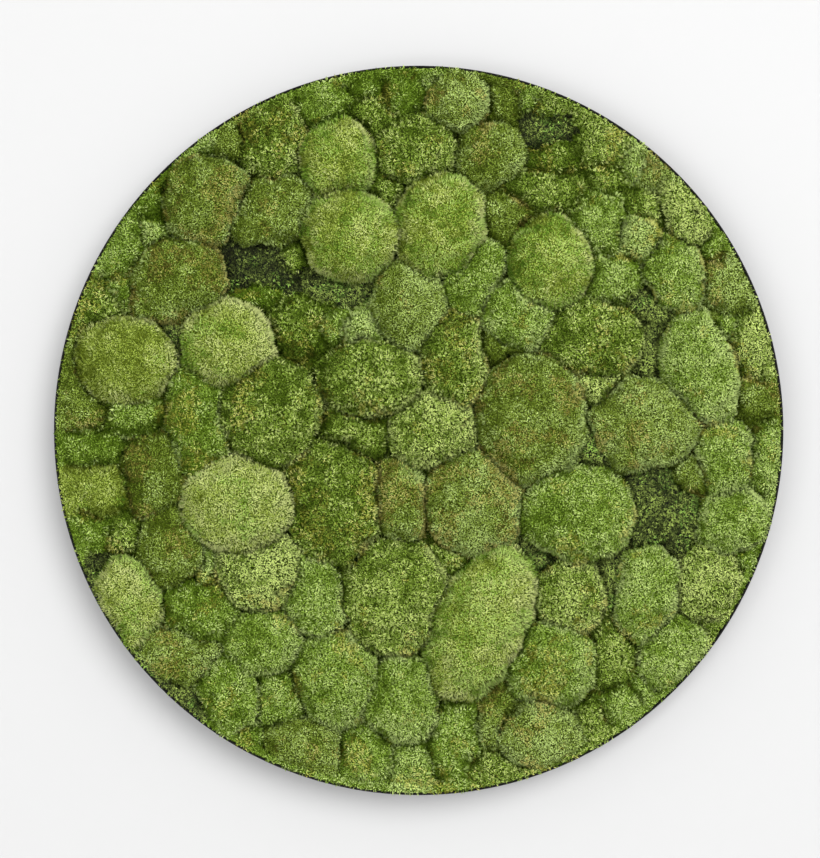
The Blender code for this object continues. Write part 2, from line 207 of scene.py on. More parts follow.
# How bright each cushion is among those of its kind, in the order of their numbers
BRIGHTNESS = {
    "pale": (0.55, 0.45, 0.6, 0.8, 0.65, 0.7, 0.4, 0.5, 0.5),
    "green": (0.5, 0.65, 0.7, 0.55, 0.55, 0.3, 0.6, 0.4, 0.45, 0.5, 0.3, 0.6, 0.6, 0.6, 0.55, 0.55, 0.6),
    "olive": (0.45, 0.65, 0.6, 0.45, 0.35, 0.4, 0.6, 0.5, 0.3, 0.25, 0.55, 0.5, 0.7, 0.6, 0.4),
    "tufted": (0.4, 0.7, 0.35, 0.35, 0.55, 0.45, 0.4, 0.4, 0.35, 0.85, 0.6, 0.8, 0.7),
    "dark": (0.5,),
}

# What share of each cushion's shoots has turned colour, in the order of their numbers
TURNED = {
    "pale": (0.5, 0.5, 0.3, 0.3, 0.6, 0.5, 0.0, 0.5, 0.6),
    "green": (0.3, 0.1, 0.1, 0.0, 0.1, 0.4, 0.1, 0.1, 0.1, 0.1, 0.4, 0.1, 0.1, 0.3, 0.2, 0.3, 0.3),
    "olive": (0.3, 0.4, 0.3, 0.5, 0.2, 0.5, 0.2, 0.5, 0.2, 0.3, 0.3, 0.0, 0.2, 0.3, 0.1),
    "tufted": (0.2, 0.0, 0.2, 0.4, 0.2, 0.4, 0.2, 0.2, 0.4, 0.2, 0.3, 0.0, 0.1),
    "dark": (0.4,),
}

# The small lumps of the moss bed by the kind of moss that covers them: how far the centre is right of and
# above the middle of the picture, half the width and half the height, in mm, and how bright the lump is
BED_LUMPS = {
    "pale": (
        (-356, -66, 37, 27, 0.45),
    ),
    "green": (
        (-58, 380, 18, 17, 0.15),
        (-17, 370, 21, 28, 0.2),
        (14, 378, 12, 18, 0.65),
        (121, 366, 12, 13, 0.55),
        (237, 300, 13, 22, 0.95),
        (-107, 362, 31, 22, 0.5),
        (-237, 314, 12, 13, 0.65),
        (-296, 254, 19, 25, 0.2),
        (-181, 146, 24, 12, 0.05),
        (-330, 198, 22, 35, 0.55),
        (-295, 219, 13, 13, 0.9),
        (-331, 154, 13, 15, 0.35),
        (-312, 22, 34, 31, 0.4),
        (-362, -22, 33, 22, 0.3),
        (-63, 108, 22, 18, 0.95),
        (-92, 115, 15, 15, 0.6),
        (199, 227, 24, 33, 0.6),
        (244, 212, 21, 24, 0.95),
        (217, 165, 27, 26, 0.65),
        (326, 203, 13, 14, 0.4),
        (338, 117, 12, 20, 0.55),
        (382, -36, 14, 34, 0.75),
        (-362, -116, 18, 26, 0.35),
        (-235, -160, 10, 17, 0.85),
        (-154, -297, 24, 31, 0.55),
        (-186, -341, 18, 14, 0.35),
        (-56, -361, 31, 31, 0.55),
        (-12, -368, 23, 25, 0.8),
        (40, -339, 25, 42, 0.45),
        (362, -135, 12, 22, 0.35),
        (254, -288, 17, 17, 0.65),
        (224, -304, 21, 20, 0.65),
    ),
    "olive": (
        (92, 360, 19, 31, 0.3),
        (261, 282, 19, 22, 0.7),
        (-210, 321, 17, 22, 0.5),
        (-371, 28, 26, 40, 0.4),
        (97, 233, 22, 26, 0.45),
        (341, 158, 24, 31, 0.7),
        (373, 35, 20, 24, 0.4),
        (300, -46, 21, 23, 0.45),
        (92, 95, 22, 15, 0.45),
        (85, -328, 21, 29, 0.65),
    ),
    "tufted": (
        (150, 358, 22, 16, 0.55),
        (201, 321, 31, 30, 0.6),
        (155, 298, 26, 18, 0.25),
        (-139, 189, 14, 14, 0.55),
        (-356, 140, 22, 22, 0.5),
        (-131, 118, 32, 29, 0.35),
        (199, 48, 22, 19, 0.85),
        (144, 266, 40, 19, 0.55),
        (368, 94, 22, 37, 0.75),
        (-325, -118, 19, 20, 0.5),
        (89, -372, 33, 17, 0.55),
        (194, -323, 20, 24, 0.5),
        (-66, -2, 36, 29, 0.45),
        (208, 273, 18, 15, 0.4),
        (254, 250, 24, 22, 0.55),
        (320, -217, 14, 18, 0.65),
        (215, -250, 21, 35, 0.6),
        (31, -139, 22, 14, 0.6),
        (-50, 348, 26, 20, 0.35),
        (-38, 264, 16, 13, 0.5),
    ),
    "dark": (
        (140, 331, 30, 18, 0.55),
        (-173, 180, 35, 24, 0.4),
        (-274, 104, 10, 20, 0.9),
        (-92, 156, 38, 15, 0.75),
        (254, 134, 24, 20, 0.75),
        (256, 86, 11, 36, 0.85),
        (-357, -150, 11, 20, 0.6),
        (-259, -291, 22, 9, 0.65),
        (211, -170, 12, 24, 0.95),
        (129, -144, 16, 12, 0.95),
        (192, -22, 14, 26, 0.95),
    ),
}

# The photograph's frame, and the picture's outline in it, in pixels
PHOTO_SIZE = (820, 858)
PHOTO_CENTRE = (418.7, 430.4)
PHOTO_RADIUS = 364.8


# ---- Colours and nodes ----

def from_hex(colour):
    """An sRGB hex colour as linear red, green and blue."""
    channels = [int(colour[i:i + 2], 16) / 255 for i in (1, 3, 5)]
    return [c / 12.92 if c <= 0.04045 else ((c + 0.055) / 1.055) ** 2.4 for c in channels]


def add_node(tree, kind, settings=None, inputs=None):
    """Add a node with its settings, which are its properties, and its inputs."""
    node = tree.nodes.new(kind)
    for name, value in (settings or {}).items():
        setattr(node, name, value)
    feed(node, inputs or {})
    return node


def feed(node, inputs):
    """Give a node its inputs. Each is a value, or a socket or a node that is linked to it."""
    for name, value in inputs.items():
        if isinstance(value, bpy.types.Node):
            value = next(socket for socket in value.outputs if socket.enabled)
        if isinstance(value, bpy.types.NodeSocket):
            node.id_data.links.new(value, node.inputs[name])
        else:
            node.inputs[name].default_value = value


def new_material(name):
    material = bpy.data.materials.new(name)
    material.use_nodes = True
    tree = material.node_tree
    return material, tree, tree.nodes["Principled BSDF"]


# ---- Settings ----

def moss_colour_properties():
    """Seven colours for each kind of moss."""
    made = {}
    for kind, colours in MOSS_COLOURS.items():
        for place, colour in zip(COLOUR_PLACES, colours):
            made[f"{kind}_{place}"] = bpy.props.FloatVectorProperty(
                name=f"{kind} moss, {place}".replace("_", " ").capitalize(),
                description=f"The {place} colour of the {kind} moss".replace("_", " "),
                subtype="COLOR",
                size=3,
                min=0,
                max=1,
                default=from_hex(colour),
            )
    return made


class MossSettings(bpy.types.PropertyGroup):
    """Sizes and colours of the moss"""

    __annotations__ = {
        "density": bpy.props.FloatProperty(
            name="Density",
            description="How close the shoots stand, against the kind's own spacing",
            default=1.0,
            min=0.2,
            max=1.2,
            subtype="FACTOR",
        ),
        "overhang": bpy.props.FloatProperty(
            name="Overhang",
            description="How far the tips stand proud of the solid cushion",
            default=1.5 * MM,
            min=0,
            max=5 * MM,
            unit="LENGTH",
        ),
        "seed": bpy.props.IntProperty(
            name="Seed",
            description="Another number grows every shoot in another place",
            default=7,
        ),
        **moss_colour_properties(),
    }


class FrameSettings(bpy.types.PropertyGroup):
    """Sizes and colours of the frame"""

    edge_round: bpy.props.FloatProperty(
        name="Rounded edge",
        description="Radius of the rim's front and back edges",
        default=0.5 * MM,
        unit="LENGTH",
    )
    rim_colour: bpy.props.FloatVectorProperty(
        name="Rim",
        description="Colour of the powder coat",
        subtype="COLOR",
        default=from_hex("#0C0C0B"),
    )
    board_colour: bpy.props.FloatVectorProperty(
        name="Board",
        description="Colour of the bare fibreboard",
        subtype="COLOR",
        default=from_hex("#B39568"),
    )


class StageSettings(bpy.types.PropertyGroup):
    """Wall, light and camera"""

    wall_colour: bpy.props.FloatVectorProperty(
        name="Wall",
        description="Colour of the wall and the floor",
        subtype="COLOR",
        default=from_hex("#A9A9A9"),
    )
    lens: bpy.props.FloatProperty(
        name="Lens",
        description="Focal length of the camera",
        default=100,
        subtype="DISTANCE_CAMERA",
    )
    key_power: bpy.props.FloatProperty(
        name="Key light",
        description="Power of the large light at the upper right",
        default=520,
        unit="POWER",
    )
    fill_power: bpy.props.FloatProperty(
        name="Fill light",
        description="Power of the large light at the left",
        default=270,
        unit="POWER",
    )
    sky: bpy.props.FloatProperty(
        name="Sky",
        description="Strength of the even light from all round",
        default=1.15,
        min=0,
    )


# ---- Materials ----

def moss_material(kind, settings):
    """Preserved moss: matt stems, dark between them, partly their own colour and partly painted shade, and
    bright and dry at their tips.

    The moss's map gives each shoot's own tone across, with the turned shoots in its right half, and its
    height upwards, with the body under the shoots below BODY_TOP. The body is packed with the crowns of
    lower shoots. Real ones are under 1 mm wide, and these are drawn CROWN wide so that they show.
    """
    name = f"preserved_{kind}_moss"
    if name in bpy.data.materials:
        return bpy.data.materials[name]
    material, tree, shader = new_material(name)
    gap, *tones = (getattr(settings, f"{kind}_{place}") for place in COLOUR_PLACES)
    on_map = add_node(tree, "ShaderNodeUVMap", {"uv_map": "OFBake"})
    parts = add_node(tree, "ShaderNodeSeparateXYZ", inputs={"Vector": on_map})
    body = add_node(
        tree,
        "ShaderNodeMath",
        {"operation": "LESS_THAN"},
        {0: parts.outputs["Y"], 1: BODY_TOP},
    )
    place = add_node(tree, "ShaderNodeTexCoord")
    crowns = add_node(
        tree,
        "ShaderNodeTexVoronoi",
        inputs={"Vector": place.outputs["Object"], "Scale": 1 / (CROWN * MM)},
    )

    # The tone: a shoot's own, or the body's with a little more or less for each crown
    lots = add_node(tree, "ShaderNodeSeparateXYZ", inputs={"Vector": crowns.outputs["Color"]})
    lot = add_node(
        tree,
        "ShaderNodeMapRange",
        inputs={"Value": lots.outputs["X"], "To Min": -CROWN_TONE, "To Max": CROWN_TONE},
    )
    tone = add_node(
        tree,
        "ShaderNodeMath",
        {"operation": "MULTIPLY_ADD"},
        {0: lot, 1: body, 2: parts.outputs["X"]},
    )
    shade = add_node(tree, "ShaderNodeValToRGB", inputs={"Fac": tone})
    ramp = shade.color_ramp
    for position in TONE_PLACES[1:-1]:
        ramp.elements.new(position)
    for element, position, colour in zip(ramp.elements, TONE_PLACES, tones):
        element.position = position
        element.color = (*colour, 1)

    # How far out of the gaps it is: a shoot from root to shoulder, or a crown from its edge inwards. Down
    # in the gaps it takes the gap colour, which is partly the stems' own and partly painted shade
    risen = add_node(
        tree,
        "ShaderNodeMapRange",
        {"interpolation_type": "SMOOTHSTEP"},
        {"Value": parts.outputs["Y"], "From Min": ROOT, "From Max": SHOULDER},
    )
    crown = add_node(
        tree,
        "ShaderNodeMapRange",
        {"interpolation_type": "SMOOTHSTEP"},
        {"Value": crowns, "From Min": CROWN_EDGE, "From Max": CROWN_TOP},
    )
    out = add_node(tree, "ShaderNodeMath", {"operation": "MULTIPLY_ADD"}, {0: crown, 1: body, 2: risen})
    mixed = add_node(
        tree,
        "ShaderNodeMix",
        {"data_type": "RGBA"},
        {"A": (*gap, 1), "B": shade.outputs["Color"], "Factor": out},
    )

    # Both sides of a leaf take the light as its front does
    facing = add_node(tree, "ShaderNodeNewGeometry")
    same = add_node(
        tree,
        "ShaderNodeMapRange",
        inputs={"Value": facing.outputs["Backfacing"], "To Min": 1.0, "To Max": -1.0},
    )
    front = add_node(
        tree,
        "ShaderNodeVectorMath",
        {"operation": "SCALE"},
        {"Vector": facing.outputs["Normal"], "Scale": same},
    )
    feed(shader, {"Base Color": mixed, "Normal": front, "Roughness": 0.9, "Specular IOR Level": 0.05})
    return material


def powder_coat(settings):
    """Powder-coated steel: satin black with the fine orange-peel skin of baked powder."""
    material, tree, shader = new_material("satin_black_powder_coat")
    place = add_node(tree, "ShaderNodeTexCoord").outputs["Object"]
    grain, wear = (
        add_node(
            tree,
            "ShaderNodeTexNoise",
            inputs={"Vector": place, "Scale": 1 / width, "Detail": detail},
        )
        for width, detail in ((1.2 * MM, 2.0), (60 * MM, 4.0))
    )
    tint = add_node(
        tree,
        "ShaderNodeMix",
        {"data_type": "RGBA"},
        {
            "A": (*settings.rim_colour, 1),
            "B": (*(1.9 * c for c in settings.rim_colour), 1),
            "Factor": wear,
        },
    )
    rough = add_node(tree, "ShaderNodeMapRange", inputs={"Value": wear, "To Min": 0.5, "To Max": 0.66})
    bump = add_node(
        tree,
        "ShaderNodeBump",
        inputs={"Height": grain, "Strength": 0.25, "Distance": 0.1 * MM},
    )
    feed(shader, {"Base Color": tint, "Roughness": rough, "Normal": bump, "Specular IOR Level": 0.06})
    return material


def fibreboard(settings):
    """Medium-density fibreboard: pressed wood dust, so it is matt and speckled and has no grain."""
    material, tree, shader = new_material("bare_fibreboard")
    place = add_node(tree, "ShaderNodeTexCoord").outputs["Object"]
    speck = add_node(
        tree,
        "ShaderNodeTexNoise",
        inputs={"Vector": place, "Scale": 1 / (2.5 * MM), "Detail": 5.0, "Roughness": 0.7},
    )
    cloud = add_node(
        tree,
        "ShaderNodeTexNoise",
        inputs={"Vector": place, "Scale": 1 / (120 * MM), "Detail": 3.0},
    )
    both = add_node(tree, "ShaderNodeMath", {"operation": "ADD"}, {0: speck, 1: cloud})
    share = add_node(
        tree,
        "ShaderNodeMapRange",
        inputs={"Value": both, "From Min": 0.7, "From Max": 1.3},
    )
    tint = add_node(
        tree,
        "ShaderNodeMix",
        {"data_type": "RGBA"},
        {
            "A": (*(0.75 * c for c in settings.board_colour), 1),
            "B": (*settings.board_colour, 1),
            "Factor": share,
        },
    )
    bump = add_node(
        tree,
        "ShaderNodeBump",
        inputs={"Height": speck, "Strength": 0.3, "Distance": 0.15 * MM},
    )
    feed(shader, {"Base Color": tint, "Roughness": 0.82, "Normal": bump})
    return material


def zinc_plate():
    """Zinc-plated steel: pale grey metal with the faint cloudy spangle of the plating."""
    material, tree, shader = new_material("zinc_plated_steel")
    place = add_node(tree, "ShaderNodeTexCoord").outputs["Object"]
    spangle = add_node(
        tree,
        "ShaderNodeTexVoronoi",
        inputs={"Vector": place, "Scale": 1 / (4 * MM)},
    ).outputs["Distance"]
    tint = add_node(
        tree,
        "ShaderNodeMix",
        {"data_type": "RGBA"},
        {"A": (*from_hex("#9A9C9E"), 1), "B": (*from_hex("#C4C5C3"), 1), "Factor": spangle},
    )
    rough = add_node(
        tree,
        "ShaderNodeMapRange",
        inputs={"Value": spangle, "To Min": 0.28, "To Max": 0.48},
    )
    feed(shader, {"Base Color": tint, "Metallic": 1.0, "Roughness": rough})
    return material


# ---- Shoots ----

def leaf(points, faces, turn, lean, half_width, high=1.0):
    """Add one leaf: narrow at its root, widest above its middle and bent outward to its tip."""
    first = len(points)
    across = Vector((-math.sin(turn), math.cos(turn), 0)) * half_width
    out = Vector((math.cos(turn), math.sin(turn), 0)) * lean
    widest = WIDEST_OUT * out + Vector((0, 0, WIDEST * high))
    tip = out + Vector((0, 0, high))
    for place in (Vector(), widest + across, widest - across, tip):
        points.append(place)
    faces.append((first, first + 2, first + 1))
    faces.append((first + 1, first + 2, first + 3))


def shoot_object(name):
    """A hidden shoot, one unit wide and tall: a single blade or a rosette of three leaves."""
    if name in bpy.data.objects:
        return bpy.data.objects[name]
    points = []
    faces = []
    if name == "blade":
        leaf(points, faces, 0.0, 0.8, 0.7)
    else:
        for step, high in enumerate((1.0, 0.85, 0.7)):
            leaf(points, faces, 2 * math.pi * step / 3, 0.9 + 0.15 * step, 0.3, high)
    mesh = bpy.data.meshes.new(name)
    mesh.from_pydata(points, [], faces)
    mesh.shade_smooth()
    store(mesh, "height", "FLOAT", [ROOT + (1 - ROOT) * point.z for point in points])
    store(mesh, "side", "FLOAT", [point.x + 0.3 * point.y for point in points])
    item = link(name, mesh)
    item.hide_render = True
    return item


def moss_tree():
    """Grows shoots over a body: points on its surface, a shoot on each, and the map that colours them."""
    tree = bpy.data.node_groups.new("Moss shoots", "GeometryNodeTree")
    tree.is_modifier = True
    for name, kind in MOSS_INPUTS:
        tree.interface.new_socket(name=name, in_out="INPUT", socket_type="NodeSocket" + kind)
    tree.interface.new_socket(name="Geometry", in_out="OUTPUT", socket_type="NodeSocketGeometry")
    given = add_node(tree, "NodeGroupInput").outputs
    carried = {
        name: add_node(tree, "GeometryNodeInputNamedAttribute", {"data_type": kind}, {"Name": name})
        for name, kind in CARRIED.items()
    }
    drawn = {}
    for seed, (name, kind, low, high) in enumerate(DRAWN, start=1):
        limits = {"Min": low, "Max": high, "Seed": seed}
        drawn[name] = add_node(tree, "FunctionNodeRandomValue", {"data_type": kind}, limits)

    # Points, one for each shoot
    points = add_node(
        tree,
        "GeometryNodeDistributePointsOnFaces",
        {"distribute_method": "POISSON"},
        {
            "Mesh": given["Geometry"],
            "Distance Min": given["Spacing"],
            "Density Max": given["Density"],
            "Density Factor": carried["cover"],
            "Seed": given["Seed"],
        },
    )
    place = add_node(tree, "GeometryNodeInputPosition")

    # How high the tufts stand at each shoot, and a millimetre to its right and above it
    tufts = []
    for aside in ((0, 0, 0), (1 * MM, 0, 0), (0, 0, 1 * MM)):
        near = add_node(tree, "ShaderNodeVectorMath", {"operation": "ADD"}, {0: place, 1: aside})
        lumps = add_node(
            tree,
            "ShaderNodeTexNoise",
            inputs={"Vector": near, "Scale": given["Tuft Scale"], "Detail": 1.0},
        )
        swing = add_node(
            tree,
            "ShaderNodeMapRange",
            {"clamp": False},
            {"Value": lumps, "To Min": -1.0, "To Max": 1.0},
        )
        tuft = add_node(
            tree,
            "ShaderNodeMath",
            {"operation": "MULTIPLY"},
            {0: swing, 1: given["Tufts"]},
        )
        tufts.append(tuft)
    here = add_node(tree, "ShaderNodeCombineXYZ", inputs={"X": tufts[0], "Z": tufts[0]})
    beside = add_node(tree, "ShaderNodeCombineXYZ", inputs={"X": tufts[1], "Z": tufts[2]})
    fall = add_node(tree, "ShaderNodeVectorMath", {"operation": "SUBTRACT"}, {0: here, 1: beside})
    splayed = add_node(
        tree,
        "ShaderNodeVectorMath",
        {"operation": "MULTIPLY_ADD"},
        {0: fall, 1: (RELIEF, RELIEF, RELIEF), 2: carried["grow"]},
    )

    # Each shoot's tone: the body's, with patches, a lot of its own and its tuft's height, which paints
    # light on the tops of the tufts and shade in their dips
    patches = add_node(
        tree,
        "ShaderNodeTexNoise",
        inputs={"Vector": place, "Detail": 2.0, "Scale": 1 / (PATCH_LENGTH * MM)},
    )
    patch = add_node(
        tree,
        "ShaderNodeMapRange",
        {"clamp": False},
        {"Value": patches, "To Min": -PATCHES, "To Max": PATCHES},
    )
    tone = carried["shade"]
    for part in (patch, tufts[0], drawn["own"]):
        tone = add_node(tree, "ShaderNodeMath", {"operation": "ADD"}, {0: tone, 1: part})
    in_range = add_node(tree, "ShaderNodeClamp", inputs={"Value": tone, "Min": 0.03, "Max": 0.97})

    # Whether it has turned colour, in patches, and so its place across the map
    elsewhere = add_node(tree, "ShaderNodeVectorMath", {"operation": "ADD"}, {0: place, 1: (3, 5, 7)})
    turning = add_node(
        tree,
        "ShaderNodeTexNoise",
        inputs={
            "Vector": elsewhere,
            "Detail": 4.0,
            "Roughness": 0.6,
            "Scale": 1 / (TURNED_LENGTH * MM),
        },
    )
    leaning = add_node(
        tree,
        "ShaderNodeMath",
        {"operation": "MULTIPLY_ADD"},
        {0: carried["turned"], 1: TURNED_BY_SHARE, 2: -TURNED_FROM},
    )
    chance = add_node(
        tree,
        "ShaderNodeMath",
        {"operation": "MULTIPLY_ADD"},
        {0: turning, 1: TURNED_SHARPNESS, 2: leaning},
    )
    turns = add_node(tree, "ShaderNodeMath", {"operation": "LESS_THAN"}, {0: drawn["lot"], 1: chance})
    start = add_node(tree, "ShaderNodeMath", {"operation": "MULTIPLY"}, {0: turns, 1: TURNED_START})
    across = add_node(
        tree,
        "ShaderNodeMath",
        {"operation": "MULTIPLY_ADD"},
        {0: in_range, 1: HALF_MAP, 2: start},
    )
    toned = add_node(
        tree,
        "GeometryNodeStoreNamedAttribute",
        {"data_type": "FLOAT", "domain": "POINT"},
        {"Geometry": points, "Name": "tone", "Value": across},
    )

    # Each shoot's direction, turn and length, and the way it faces the light
    ways = []
    for share in (given["Stray"], FACING_STRAY):
        stray = add_node(
            tree,
            "ShaderNodeVectorMath",
            {"operation": "SCALE"},
            {"Vector": drawn["astray"], "Scale": share},
        )
        ahead = add_node(tree, "ShaderNodeVectorMath", {"operation": "ADD"}, {0: splayed, 1: stray})
        ways.append(ahead)
    faced = add_node(
        tree,
        "GeometryNodeStoreNamedAttribute",
        {"data_type": "FLOAT_VECTOR", "domain": "POINT"},
        {"Geometry": toned, "Name": "facing", "Value": ways[1]},
    )
    upright = add_node(tree, "FunctionNodeAlignRotationToVector", {"axis": "Z"}, {"Vector": ways[0]})
    turned = add_node(
        tree,
        "FunctionNodeRotateRotation",
        {"rotation_space": "LOCAL"},
        {"Rotation": upright, "Rotate By": drawn["spin"]},
    )
    taller = add_node(
        tree,
        "ShaderNodeMath",
        {"operation": "MULTIPLY_ADD"},
        {0: tufts[0], 1: TALLER_TUFTS, 2: drawn["length"]},
    )
    tall = add_node(tree, "ShaderNodeMath", {"operation": "MULTIPLY"}, {0: taller, 1: given["Length"]})
    size = add_node(
        tree,
        "ShaderNodeCombineXYZ",
        inputs={"X": given["Width"], "Y": given["Width"], "Z": tall},
    )
    shoot = add_node(tree, "GeometryNodeObjectInfo", inputs={"Object": given["Shoot"]})
    placed = add_node(
        tree,
        "GeometryNodeInstanceOnPoints",
        inputs={
            "Points": faced,
            "Instance": shoot.outputs["Geometry"],
            "Rotation": turned,
            "Scale": size,
        },
    )
    real = add_node(tree, "GeometryNodeRealizeInstances", inputs={"Geometry": placed})

    # The shoots' map, with a little room across for each leaf
    room = add_node(
        tree,
        "ShaderNodeMath",
        {"operation": "MULTIPLY_ADD"},
        {0: carried["side"], 1: LEAF_ON_MAP, 2: carried["tone"]},
    )
    on_map = add_node(tree, "ShaderNodeCombineXYZ", inputs={"X": room, "Y": carried["height"]})
    mapped = add_node(
        tree,
        "GeometryNodeStoreNamedAttribute",
        {"data_type": "FLOAT2", "domain": "CORNER"},
        {"Geometry": real, "Name": "OFBake", "Value": on_map},
    )
    whole = add_node(tree, "GeometryNodeJoinGeometry", inputs={"Geometry": mapped})
    feed(whole, {"Geometry": given["Geometry"]})

    # Every shoot takes the light as the cushion's own surface does where it stands
    lit = add_node(
        tree,
        "GeometryNodeSetMeshNormal",
        {"mode": "FREE", "domain": "POINT"},
        {"Mesh": whole, "Custom Normal": carried["facing"]},
    )
    dressed = add_node(
        tree,
        "GeometryNodeSetMaterial",
        inputs={"Geometry": lit, "Material": given["Material"]},
    )
    add_node(tree, "NodeGroupOutput", inputs={"Geometry": dressed})
    return tree


def grow(item, kind, looks, seed, settings):
    """Run the moss tree over a body and keep the result as a plain mesh.

    The looks are the body's cover, shade, turned and grow at each vertex.
    """
    mesh = item.data
    normals = vertex_values(mesh, "normal")
    for name, values in {**looks, "facing": normals}.items():
        store(mesh, name, CARRIED[name], values)
    corners = np.array([loop.vertex_index for loop in mesh.loops])
    places = vertex_values(mesh, "co")
    tone = HALF_MAP * np.clip(looks["shade"], 0.1, 0.9)
    height = BODY_TOP * (0.15 + 0.7 * uneven(places, 6 * MM))
    mesh.attributes.new("OFBake", "FLOAT2", "CORNER")
    mesh.attributes["OFBake"].data.foreach_set("vector", np.stack([tone, height], -1)[corners].ravel())

    tree = bpy.data.node_groups.get("Moss shoots") or moss_tree()
    growth = MOSS_GROWTH[kind]
    spacing = growth.spacing * MM / settings.density
    modifier = item.modifiers.new("moss", "NODES")
    modifier.node_group = tree
    values = {
        "Shoot": shoot_object(growth.shoot),
        "Spacing": spacing,
        "Density": 3 / spacing ** 2,
        "Length": growth.length * MM,
        "Width": growth.width * MM,
        "Stray": growth.stray,
        "Tuft Scale": 1 / (growth.tuft * MM),
        "Tufts": growth.tufts,
        "Seed": settings.seed + seed,
        "Material": moss_material(kind, settings),
    }
    for socket in tree.interface.items_tree:
        if socket.in_out == "INPUT" and socket.name in values:
            modifier[socket.identifier] = values[socket.name]
    bake_modifiers(item)
    for name in CARRIED:
        attribute = item.data.attributes.get(name)
        if attribute:
            item.data.attributes.remove(attribute)
    fit_in_rim(item.data)
    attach(item, "root")


def fit_in_rim(mesh):
    """Draw the shoots that would cross the rim in to its inner side. In front of it they may hang over."""
    places = vertex_values(mesh, "co")
    before_rim = places[:, 1] < RIM_FRONT - BEFORE_RIM * MM
    reach = np.where(before_rim, PICTURE_RADIUS + HANG_OVER * MM, INSIDE_RADIUS)
    share = np.minimum(1, reach / np.hypot(places[:, 0], places[:, 2]))
    places *= np.stack([share, np.ones_like(share), share], -1)
    mesh.vertices.foreach_set("co", places.astype(np.float32).ravel())
    mesh.update()


def bake_modifiers(item):
    depsgraph = bpy.context.evaluated_depsgraph_get()
    mesh = bpy.data.meshes.new_from_object(item.evaluated_get(depsgraph))
    item.modifiers.clear()
    item.data = mesh


# ---- Bodies under the moss ----

def link(name, mesh):
    item = bpy.data.objects.new(name, mesh)
    bpy.context.scene.collection.objects.link(item)
    return item


def store(mesh, name, kind, values):
    """Keep a value or a vector on every vertex."""
    attribute = mesh.attributes.new(name, kind, "POINT")
    field = "vector" if kind == "FLOAT_VECTOR" else "value"
    attribute.data.foreach_set(field, np.ravel(values).astype(np.float32))


def vertex_values(mesh, name):
    """Every vertex's place or normal."""
    values = np.empty(len(mesh.vertices) * 3, np.float32)
    mesh.vertices.foreach_get(name, values)
    return values.reshape(-1, 3)


def smooth_step(values, low, high):
    share = np.clip((values - low) / (high - low), 0, 1)
    return share * share * (3 - 2 * share)


def uneven(places, width):
    """Smooth noise between 0 and 1 at each place."""
    return np.array([0.5 + 0.5 * noise.noise(Vector(place) / width) for place in places])


def cushion_body(node):
    """The solid cushion's own form, with softer edges, open at its underside and as large as the solid."""
    shape = bmesh.new()
    shape.from_mesh(NODES[node].data)
    bmesh.ops.remove_doubles(shape, verts=shape.verts, dist=0.01 * MM)
    underside = [face for face in shape.faces if face.normal.y > 0.99]
    bmesh.ops.delete(shape, geom=underside, context="FACES")
    bmesh.ops.join_triangles(shape, faces=shape.faces, angle_face_threshold=1.2, angle_shape_threshold=1.2)
    mesh = bpy.data.meshes.new(node + "_moss")
    shape.to_mesh(mesh)
    shape.free()
    item = link(node + "_moss", mesh)
    finer = item.modifiers.new("finer", "SUBSURF")
    finer.subdivision_type = "SIMPLE"
    finer.levels = finer.render_levels = 2
    softer = item.modifiers.new("softer", "SMOOTH")
    softer.factor = 0.5
    softer.iterations = 10
    bake_modifiers(item)
    low, high = (np.array(corner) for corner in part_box(node))
    places = vertex_values(item.data, "co")
    places = low + (places - places.min(0)) / (places.max(0) - places.min(0)) * (high - low)
    places = places + wander(places)
    item.data.vertices.foreach_set("co", places.ravel())
    item.data.update()
    return item


def wander(places):
    """A small push to one side at each place, so that no edge is straight."""
    noise.seed_set(WANDER_SEED)
    length = WANDER_LENGTH * MM
    pushes = []
    for place in places:
        coarse = noise.noise_vector(Vector(place) / length)
        fine = noise.noise_vector(Vector(place) * FINER_WANDER / length)
        pushes.append(coarse + 0.5 * fine)
    return np.array(pushes) * (1, 0, 1) * WANDER * MM


def sink(mesh, growth, overhang):
    """Draw a body in along its normals by the shoots' length, and more in the hollows between its lumps.

    Gives back how deep in a hollow each vertex is, from 0 to 1.
    """
    places = vertex_values(mesh, "co")
    normals = vertex_values(mesh, "normal")
    width = growth.lump_width * MM
    lumps = uneven(places, width) + 0.5 * uneven(places * FINER_LUMPS, width)
    hollow = np.clip(0.9 - lumps, 0, 1)
    depth = growth.length * MM - overhang + 2 * growth.lump_height * MM * hollow
    places -= normals * (SIDEWAYS, 1, SIDEWAYS) * depth[:, None]
    mesh.vertices.foreach_set("co", places.ravel())
    mesh.update()
    return hollow


class CushionOperator:
    """Grows one kind of moss on its cushions."""

    bl_options = {"REGISTER"}
    kind = ""

    def execute(self, context):
        settings = context.scene.moss_settings
        growth = MOSS_GROWTH[self.kind]
        if not any(name.startswith(self.kind + "_cushion_") for name in NODES):
            raise RuntimeError(f"the frame has no {self.kind} cushion")
        for number, brightness in enumerate(BRIGHTNESS[self.kind], start=1):
            node = f"{self.kind}_cushion_{number}"
            item = cushion_body(node)
            mesh = item.data
            hollow = sink(mesh, growth, settings.overhang)
            low, high = (np.array(corner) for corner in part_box(node))
            places = vertex_values(mesh, "co")
            normals = vertex_values(mesh, "normal")
            rise = (high[1] - places[:, 1]) / (high[1] - low[1])
            outward = (places - (low + high) / 2) / (high - low) * 2
            outward[:, 1] = 0
            looks = {
                "cover": np.clip(0.3 + 3 * rise, 0, 1),
                # The shade holds painted light, paler where the body faces right and out, and painted
                # shade in its hollows
                "shade": brightness + normals @ PAINTED_LIGHT_BY_FACING - PAINTED_SHADE_IN_HOLLOWS * hollow + CUSHION_LIFT,
                "turned": np.full(len(places), TURNED[self.kind][number - 1]),
                "grow": normals + growth.comb * outward,
            }
            grow(item, self.kind, looks, number, settings)
            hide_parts(node)
        return {"FINISHED"}


# ---- Operators ----

